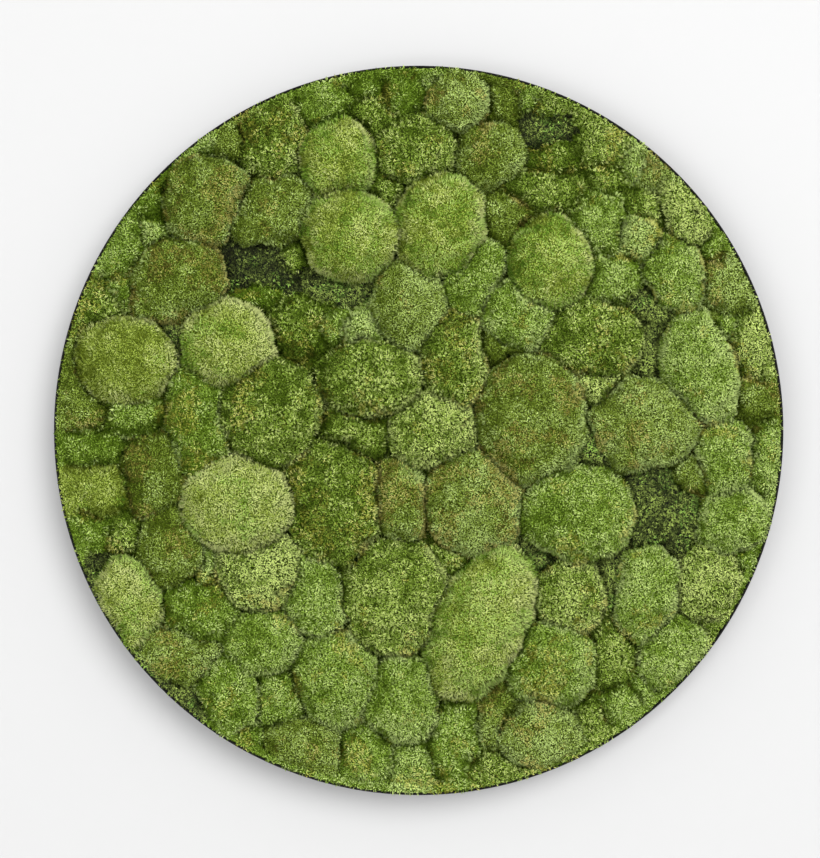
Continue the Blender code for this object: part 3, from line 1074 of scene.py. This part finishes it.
class MOSS_OT_pale(CushionOperator, bpy.types.Operator):
    """Grow the pale, velvety cushions"""

    bl_idname = "moss.pale"
    bl_label = "Pale Cushions"
    kind = "pale"


class MOSS_OT_green(CushionOperator, bpy.types.Operator):
    """Grow the green, fine-haired cushions"""

    bl_idname = "moss.green"
    bl_label = "Green Cushions"
    kind = "green"


class MOSS_OT_olive(CushionOperator, bpy.types.Operator):
    """Grow the olive cushions"""

    bl_idname = "moss.olive"
    bl_label = "Olive Cushions"
    kind = "olive"


class MOSS_OT_tufted(CushionOperator, bpy.types.Operator):
    """Grow the leafy, tufted cushions"""

    bl_idname = "moss.tufted"
    bl_label = "Tufted Cushions"
    kind = "tufted"


class MOSS_OT_dark(CushionOperator, bpy.types.Operator):
    """Grow the dark, loose cushion"""

    bl_idname = "moss.dark"
    bl_label = "Dark Cushion"
    kind = "dark"


class MOSS_OT_bed(bpy.types.Operator):
    """Grow the moss bed with its small lumps, where they show between the cushions"""

    bl_idname = "moss.bed"
    bl_label = "Moss Bed"

    def execute(self, context):
        settings = context.scene.moss_settings
        step = BED_CELL * MM
        axis = np.arange(-INSIDE_RADIUS - step, INSIDE_RADIUS + 2 * step, step)
        x, z = np.meshgrid(axis, axis)
        inside = np.hypot(x, z) < INSIDE_RADIUS + step
        drawn_in = np.minimum(1, (INSIDE_RADIUS - 0.5 * MM) / np.maximum(np.hypot(x, z), step))
        x, z = x * drawn_in, z * drawn_in
        pushes = wander(np.stack([x.ravel(), 0 * x.ravel(), z.ravel()], -1)).reshape(*x.shape, 3)
        front, hidden = bed_depths(x, z, pushes, inside, context.evaluated_depsgraph_get())
        bare = shifted(hidden, np.minimum)
        for _ in range(3):
            hidden = shifted(hidden, np.minimum)
        kinds, brightness, edge = lump_looks(x + 1.5 * pushes[..., 0], z + 1.5 * pushes[..., 2])
        rise_start, rise_end = INSIDE_RADIUS - RISE_START * MM, INSIDE_RADIUS - RISE_END * MM
        near_rim = smooth_step(np.hypot(x, z), rise_start, rise_end)
        right = smooth_step(x, 0.55 * PICTURE_RADIUS, 0.95 * PICTURE_RADIUS)
        at_rim = BED_AT_RIM - LESS_AT_RIGHT * right
        front = np.minimum(front, RIM_FRONT * at_rim * near_rim)
        # Painted shade between the lumps, less near the rim
        shade = brightness - PAINTED_SHADE_BETWEEN_LUMPS * smooth_step(edge, *LUMP_EDGE) * (1 - near_rim)

        index = np.arange(x.size).reshape(x.shape)
        corners = np.stack([index[:-1, :-1], index[:-1, 1:], index[1:, 1:], index[1:, :-1]], -1)
        shown = np.all(inside.ravel()[corners], -1) & ~np.all(hidden.ravel()[corners], -1)
        whole = bpy.data.meshes.new("moss_bed_surface")
        points = np.stack([x.ravel(), front.ravel(), z.ravel()], -1)
        whole.from_pydata(points.tolist(), [], corners[shown].tolist())
        hollow = sink(whole, MOSS_GROWTH["green"], settings.overhang).reshape(x.shape)
        # Painted shade in the bed's hollows
        shade = shade - BED_PAINTED_SHADE_IN_HOLLOWS * hollow + BED_LIFT
        points = vertex_values(whole, "co")
        normals = vertex_values(whole, "normal")
        cover = np.where(bare.ravel(), 0.0, 1.0)
        for number, kind in enumerate(BED_LUMPS):
            chosen = corners[shown & (kinds[:-1, :-1] == number)]
            used, faces = np.unique(chosen, return_inverse=True)
            mesh = bpy.data.meshes.new(f"moss_bed_{kind}")
            mesh.from_pydata(points[used].tolist(), [], faces.reshape(chosen.shape).tolist())
            mesh.shade_smooth()
            outward = points[used] * (1, 0, 1) / PICTURE_RADIUS * near_rim.ravel()[used, None]
            looks = {
                "cover": cover[used],
                "shade": shade.ravel()[used],
                "turned": np.full(len(used), MOSS_GROWTH[kind].turned),
                "grow": normals[used] + 0.5 * outward,
            }
            item = link(mesh.name, mesh)
            grow(item, kind, looks, 100 + number, settings)
            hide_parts("moss_bed")
        return {"FINISHED"}


def shifted(grid, combine):
    """Each cell combined with its eight neighbours."""
    made = grid.copy()
    for rows in (-1, 0, 1):
        for columns in (-1, 0, 1):
            made = combine(made, np.roll(grid, (rows, columns), (0, 1)))
    return made


def bed_depths(x, z, pushes, inside, depsgraph):
    """How far forward the moss bed's solid comes at each place, and whether a cushion hides the place."""
    bed = BVHTree.FromObject(NODES["moss_bed"], depsgraph)
    cushions = [
        (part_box(name), BVHTree.FromObject(item, depsgraph))
        for name, item in NODES.items()
        if "_cushion_" in name
    ]
    ahead = Vector((0, 1, 0))
    front = np.zeros(x.shape)
    hidden = np.ones(x.shape, bool)
    for row, column in zip(*np.nonzero(inside)):
        start = Vector((x[row, column], -1, z[row, column]))
        hit = bed.ray_cast(start + Vector(pushes[row, column]), ahead)[0] or bed.ray_cast(start, ahead)[0]
        front[row, column] = hit.y if hit else 0
        hidden[row, column] = any(
            low.x < start.x < high.x and low.z < start.z < high.z and tree.ray_cast(start, ahead)[0]
            for (low, high), tree in cushions
        )
    return front, hidden


def lump_looks(x, z):
    """The kind and brightness of the nearest lump at each place, and how near its edge the place is."""
    nearest = np.full(x.shape, 99.0)
    kinds = np.zeros(x.shape, int)
    brightness = np.zeros(x.shape)
    for number, lumps in enumerate(BED_LUMPS.values()):
        for centre_x, centre_z, half_width, half_height, own in lumps:
            share = np.hypot((x / MM - centre_x) / half_width, (z / MM - centre_z) / half_height)
            closer = share < nearest
            nearest[closer] = share[closer]
            kinds[closer] = number
            brightness[closer] = own
    return kinds, brightness, nearest


class MOSS_OT_rim(bpy.types.Operator):
    """Bend the rim from one steel strip with rounded edges"""

    bl_idname = "moss.rim"
    bl_label = "Rim"

    def execute(self, context):
        settings = context.scene.frame_settings
        steps = 256
        radius = settings.edge_round
        outer, inner = PICTURE_RADIUS - radius, INSIDE_RADIUS + 0.3 * MM + radius
        front, back = RIM_FRONT + radius, -radius
        profile = []
        edges = ((outer, back, 90), (outer, front, 0), (inner, front, -90), (inner, back, -180))
        for r, y, start in edges:
            for turn in (0, -30, -60, -90):
                angle = math.radians(start + turn)
                profile.append((r + radius * math.cos(angle), y + radius * math.sin(angle)))
        shape = bmesh.new()
        rings = []
        for step in range(steps):
            angle = 2 * math.pi * step / steps
            across, up = math.cos(angle), math.sin(angle)
            rings.append([shape.verts.new((r * across, y, r * up)) for r, y in profile])
        count = len(profile)
        for step, ring in enumerate(rings):
            after = rings[(step + 1) % steps]
            for i in range(count):
                j = (i + 1) % count
                shape.faces.new((ring[i], ring[j], after[j], after[i]))
        bmesh.ops.recalc_face_normals(shape, faces=shape.faces)
        mesh = bpy.data.meshes.new("rim_strip")
        shape.to_mesh(mesh)
        shape.free()
        mesh.shade_smooth()
        mesh.set_sharp_from_angle(angle=math.radians(50))
        mesh.materials.append(powder_coat(settings))
        item = link("rim_strip", mesh)
        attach(item, "root")
        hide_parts("rim")
        return {"FINISHED"}


class MOSS_OT_back(bpy.types.Operator):
    """Finish the fibreboard back and its hanging plate"""

    bl_idname = "moss.back"
    bl_label = "Board and Hanging Plate"

    def execute(self, context):
        settings = context.scene.frame_settings
        for name, material in (("board", fibreboard(settings)), ("hanger_plate", zinc_plate())):
            mesh = NODES[name].data
            mesh.materials.clear()
            mesh.materials.append(material)
        return {"FINISHED"}


class MOSS_OT_stage(bpy.types.Operator):
    """Set up the wall, the floor, the lights and the camera"""

    bl_idname = "moss.stage"
    bl_label = "Wall, Light and Camera"

    def execute(self, context):
        settings = context.scene.stage_settings
        scene = context.scene
        scene.view_settings.view_transform = "Standard"
        wall_material, tree, shader = new_material("matt_wall_paint")
        feed(shader, {"Base Color": (*settings.wall_colour, 1), "Roughness": 0.9})
        side = add_node(tree, "ShaderNodeNewGeometry")
        clear = add_node(tree, "ShaderNodeBsdfTransparent")
        mixed = add_node(
            tree,
            "ShaderNodeMixShader",
            inputs={0: side.outputs["Backfacing"], 1: shader, 2: clear},
        )
        feed(tree.nodes["Material Output"], {"Surface": mixed})
        wall = ring_sheet("wall", PICTURE_RADIUS - 8 * MM, 4.0, 0.3 * MM)
        wall.data.materials.append(wall_material)
        floor_material, tree, shader = new_material("matt_floor")
        feed(shader, {"Base Color": (*settings.wall_colour, 1), "Roughness": 0.8})
        floor = link("floor", bpy.data.meshes.new("floor"))
        corners = [(x * 6, y * 6, -2.5) for x, y in ((-1, -1), (1, -1), (1, 1), (-1, 1))]
        floor.data.from_pydata(corners, [], [(0, 1, 2, 3)])
        floor.data.materials.append(floor_material)

        add_light("key", (2.3, -6.0, 2.3), 4.9, settings.key_power)
        add_light("fill", (-2.5, -6.2, -1.5), 5.0, settings.fill_power)
        add_light("back_fill", (-1.5, 2.5, 1.2), 2.0, 0.2 * settings.fill_power)
        world = bpy.data.worlds.new("studio")
        world.use_nodes = True
        feed(world.node_tree.nodes["Background"], {"Color": (1, 1, 1, 1), "Strength": settings.sky})
        scene.world = world

        camera = bpy.data.objects.new("camera", bpy.data.cameras.new("camera"))
        scene.collection.objects.link(camera)
        camera.data.lens = settings.lens
        camera.data.sensor_width = 36
        camera.location = camera_place(settings.lens)
        camera.rotation_euler = (math.pi / 2, 0, 0)
        scene.camera = camera
        return {"FINISHED"}


def camera_place(lens):
    """Straight in front, so far off and aside that the rim's outline is where the photograph has it."""
    pixel = PICTURE_RADIUS / PHOTO_RADIUS
    away = PHOTO_SIZE[1] * pixel * lens / 36
    aside = (PHOTO_CENTRE[0] - PHOTO_SIZE[0] / 2) * pixel
    up = (PHOTO_CENTRE[1] - PHOTO_SIZE[1] / 2) * pixel
    return (-aside, RIM_FRONT - away, up)


def ring_sheet(name, hole, half, place):
    """An upright sheet with a round hole, facing -Y."""
    steps = 96
    shape = bmesh.new()
    inner, outer = [], []
    for step in range(steps):
        angle = 2 * math.pi * step / steps
        x, z = math.cos(angle), math.sin(angle)
        edge = half / max(abs(x), abs(z))
        inner.append(shape.verts.new((hole * x, place, hole * z)))
        outer.append(shape.verts.new((edge * x, place, edge * z)))
    for step in range(steps):
        after = (step + 1) % steps
        shape.faces.new((inner[step], inner[after], outer[after], outer[step]))
    mesh = bpy.data.meshes.new(name)
    shape.to_mesh(mesh)
    shape.free()
    if mesh.polygons[0].normal.y > 0:
        mesh.flip_normals()
    return link(name, mesh)


def add_light(name, place, size, power):
    light = bpy.data.lights.new(name, "AREA")
    light.shape = "DISK"
    light.size = size
    light.energy = power
    item = bpy.data.objects.new(name, light)
    item.location = place
    item.rotation_euler = Vector(place).to_track_quat("Z", "Y").to_euler()
    bpy.context.scene.collection.objects.link(item)


class MOSS_PT_panel(bpy.types.Panel):
    """The steps of the moss picture"""

    bl_label = "Moss Picture"
    bl_idname = "MOSS_PT_panel"
    bl_space_type = "VIEW_3D"
    bl_region_type = "UI"
    bl_category = "Moss Picture"

    def draw(self, context):
        for operator in OPERATORS:
            self.layout.operator(operator.bl_idname)
        for name in SETTINGS:
            group = getattr(context.scene, name)
            box = self.layout.box()
            for setting in group.bl_rna.properties.keys():
                if setting not in ("rna_type", "name"):
                    box.prop(group, setting)


SETTINGS = {
    "moss_settings": MossSettings,
    "frame_settings": FrameSettings,
    "stage_settings": StageSettings,
}
OPERATORS = (
    MOSS_OT_stage,
    MOSS_OT_rim,
    MOSS_OT_back,
    MOSS_OT_bed,
    MOSS_OT_pale,
    MOSS_OT_green,
    MOSS_OT_olive,
    MOSS_OT_tufted,
    MOSS_OT_dark,
)


def register():
    for group in (*SETTINGS.values(), *OPERATORS, MOSS_PT_panel):
        bpy.utils.register_class(group)
    for name, group in SETTINGS.items():
        setattr(bpy.types.Scene, name, bpy.props.PointerProperty(type=group))


def unregister():
    for name in SETTINGS:
        delattr(bpy.types.Scene, name)
    for group in (MOSS_PT_panel, *reversed(OPERATORS), *SETTINGS.values()):
        bpy.utils.unregister_class(group)


def main():
    register()
    for operator in OPERATORS:
        area, name = operator.bl_idname.split(".")
        getattr(getattr(bpy.ops, area), name)()


if __name__ == "__main__":
    main()
